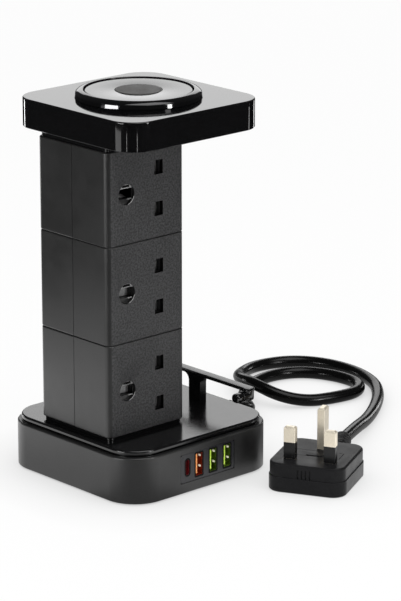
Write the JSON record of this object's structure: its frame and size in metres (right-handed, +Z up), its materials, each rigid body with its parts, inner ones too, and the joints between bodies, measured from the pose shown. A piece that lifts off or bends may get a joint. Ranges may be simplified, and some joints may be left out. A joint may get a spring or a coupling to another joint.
{
  "type": "tower power strip",
  "caption": "Square tower power strip: three-pin sockets in a column, charging ports in the base, a round charging pad on top, a phone rest, and a mains cord with a fused plug.",
  "frame": {"origin": "middle of the base on the surface that the rubber feet stand on", "axes": "+X right along the socket face, +Y from the socket face to the back, +Z up"},
  "size_m": [0.2529, 0.1907, 0.208],
  "materials": {
    "body_satin": "satin black moulded plastic",
    "socket_face": "fine textured charcoal plastic",
    "cover_satin": "smooth black plastic with a soft sheen",
    "top_gloss": "piano black",
    "pad_gloss": "piano black pad",
    "pad_centre": "matte charcoal disc",
    "panel_black": "black port panel",
    "rubber": "black rubber",
    "port_steel": "folded steel port shell",
    "tongue_orange": "orange tongue",
    "tongue_green": "green tongue",
    "tongue_red": "dark red tongue",
    "board_green": "circuit board",
    "contact_brass": "brass contact strip",
    "spring_steel": "spring steel",
    "shutter_black": "black shutter",
    "copper_coil": "enamelled copper coil",
    "screw_steel": "plated steel screws",
    "cord_black": "glossy black flex sheath",
    "plug_black": "satin black moulded plug",
    "sleeve_black": "black pin sleeve",
    "pin_nickel": "nickel plated brass pin",
    "fuse_body": "ceramic fuse body"
  },
  "bodies": {
    "root": {"base_shell": "body_satin", "base_cover": "cover_satin", "base_bottom_plate": "body_satin", "rubber_feet": "rubber", "base_screws": "screw_steel", "supply_board": "board_green", "port_panel": "panel_black", "usb_a_mouths": "port_steel", "usb_c_mouth": "port_steel", "usb_a_tongue_fast": "tongue_orange", "usb_a_tongues": "tongue_green", "usb_c_tongue": "tongue_red", "port_board": "board_green", "foot_collar": "cover_satin", "top_collar": "cover_satin", "front_shell_1": "socket_face", "socket_block_1": "body_satin", "back_shell_1": "body_satin", "front_shell_2": "socket_face", "socket_block_2": "body_satin", "back_shell_2": "body_satin", "front_shell_3": "socket_face", "socket_block_3": "body_satin", "back_shell_3": "body_satin", "shutter_spring_1": "spring_steel", "shutter_spring_2": "spring_steel", "shutter_spring_3": "spring_steel", "inner_frame": "shutter_black", "live_rail": "contact_brass", "neutral_rail": "contact_brass", "earth_rail": "contact_brass", "top_tray": "top_gloss", "top_under_cover": "body_satin", "top_screws": "screw_steel", "charger_ring": "top_gloss", "charger_pad": "pad_gloss", "centre_pad": "pad_centre", "charging_coil": "copper_coil", "charger_board": "board_green", "rest_post": "cover_satin", "rest_bar": "cover_satin", "cord_strain_relief": "rubber", "plug_cover": "plug_black", "plug_back": "plug_black", "plug_line_pins": "pin_nickel", "plug_pin_sleeves": "sleeve_black", "plug_earth_pin": "pin_nickel", "plug_strain_relief": "rubber", "cord": "cord_black"},
    "shutter_1": {"shutter_1": "shutter_black"},
    "shutter_2": {"shutter_2": "shutter_black"},
    "shutter_3": {"shutter_3": "shutter_black"},
    "fuse_drawer": {"fuse_carrier": "plug_black", "fuse": "fuse_body"}
  },
  "joints": [
    {"name": "shutter_1_slide", "type": "slide", "parent": "root", "child": "shutter_1", "axis": [1, 0, 0], "range_m": [0, 0.007], "stiffness_N_per_m": 60, "springref_m": -0.003, "deforming": ["shutter_spring_1"]},
    {"name": "shutter_2_slide", "type": "slide", "parent": "root", "child": "shutter_2", "axis": [1, 0, 0], "range_m": [0, 0.007], "stiffness_N_per_m": 60, "springref_m": -0.003, "deforming": ["shutter_spring_2"]},
    {"name": "shutter_3_slide", "type": "slide", "parent": "root", "child": "shutter_3", "axis": [1, 0, 0], "range_m": [0, 0.007], "stiffness_N_per_m": 60, "springref_m": -0.003, "deforming": ["shutter_spring_3"]},
    {"name": "fuse_drawer_slide", "type": "slide", "parent": "root", "child": "fuse_drawer", "axis": [0, 0, 1], "range_m": [0, 0.012]}
  ]
}
